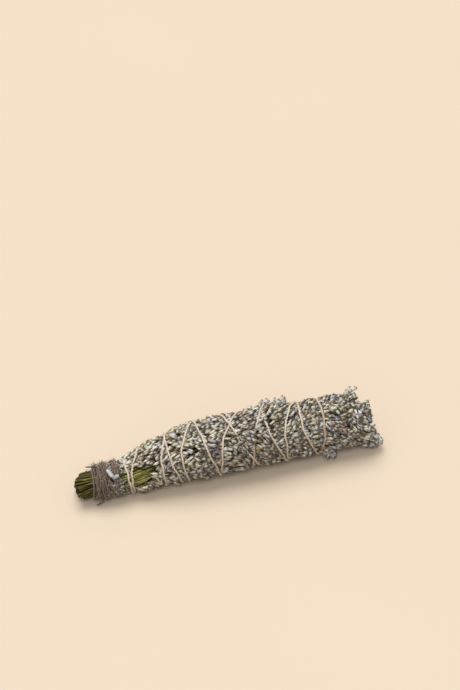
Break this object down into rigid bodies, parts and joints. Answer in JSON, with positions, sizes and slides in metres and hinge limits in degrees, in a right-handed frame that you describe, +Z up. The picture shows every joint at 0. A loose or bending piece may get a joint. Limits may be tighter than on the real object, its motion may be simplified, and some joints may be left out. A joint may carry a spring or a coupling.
{
  "type": "lavender smudge stick",
  "caption": "Dried lavender bundle lying on its side: green cut stems, a cone of bud-covered flower spikes, and one twine in a band and criss-cross spiral.",
  "frame": {"origin": "under the middle of the bundle's bounding box, on the surface that it lies on", "axes": "+X along the bundle from the cut stems to the flower tips, +Z up"},
  "size_m": [0.2314, 0.0454, 0.045],
  "materials": {
    "green_stems": "matte",
    "twine": "matte",
    "sage_buds": "matte",
    "grey_blue_buds": "matte",
    "straw_buds": "matte",
    "violet_buds": "matte"
  },
  "bodies": {
    "root": {"inner_spike_1": "sage_buds", "inner_spike_2": "grey_blue_buds", "inner_spike_3": "straw_buds", "inner_spike_4": "violet_buds", "inner_spike_5": "sage_buds", "inner_spike_6": "grey_blue_buds", "middle_spike": "sage_buds", "spike_01_1": "sage_buds", "spike_01_2": "straw_buds", "spike_01_3": "sage_buds", "spike_01_4": "straw_buds", "spike_02_1": "grey_blue_buds", "spike_02_2": "violet_buds", "spike_02_3": "grey_blue_buds", "spike_02_4": "violet_buds", "spike_03_1": "straw_buds", "spike_03_2": "sage_buds", "spike_03_3": "straw_buds", "spike_03_4": "sage_buds", "spike_04_1": "violet_buds", "spike_04_2": "grey_blue_buds", "spike_04_3": "violet_buds", "spike_04_4": "grey_blue_buds", "spike_05_1": "sage_buds", "spike_05_2": "straw_buds", "spike_05_3": "sage_buds", "spike_05_4": "straw_buds", "spike_06_1": "grey_blue_buds", "spike_06_2": "violet_buds", "spike_06_3": "grey_blue_buds", "spike_06_4": "violet_buds", "spike_07_1": "straw_buds", "spike_07_2": "sage_buds", "spike_07_3": "straw_buds", "spike_07_4": "sage_buds", "spike_07_5": "straw_buds", "spike_08_1": "violet_buds", "spike_08_2": "grey_blue_buds", "spike_08_3": "violet_buds", "spike_08_4": "grey_blue_buds", "spike_09_1": "sage_buds", "spike_09_2": "straw_buds", "spike_09_3": "sage_buds", "spike_09_4": "straw_buds", "spike_10_1": "grey_blue_buds", "spike_10_2": "violet_buds", "spike_10_3": "grey_blue_buds", "spike_10_4": "violet_buds", "spike_11_1": "straw_buds", "spike_11_2": "sage_buds", "spike_11_3": "straw_buds", "spike_11_4": "sage_buds", "spike_11_5": "straw_buds", "spike_12_1": "violet_buds", "spike_12_2": "grey_blue_buds", "spike_12_3": "violet_buds", "spike_12_4": "grey_blue_buds", "stem_bundle": "green_stems", "twine": "twine"}
  },
  "joints": []
}
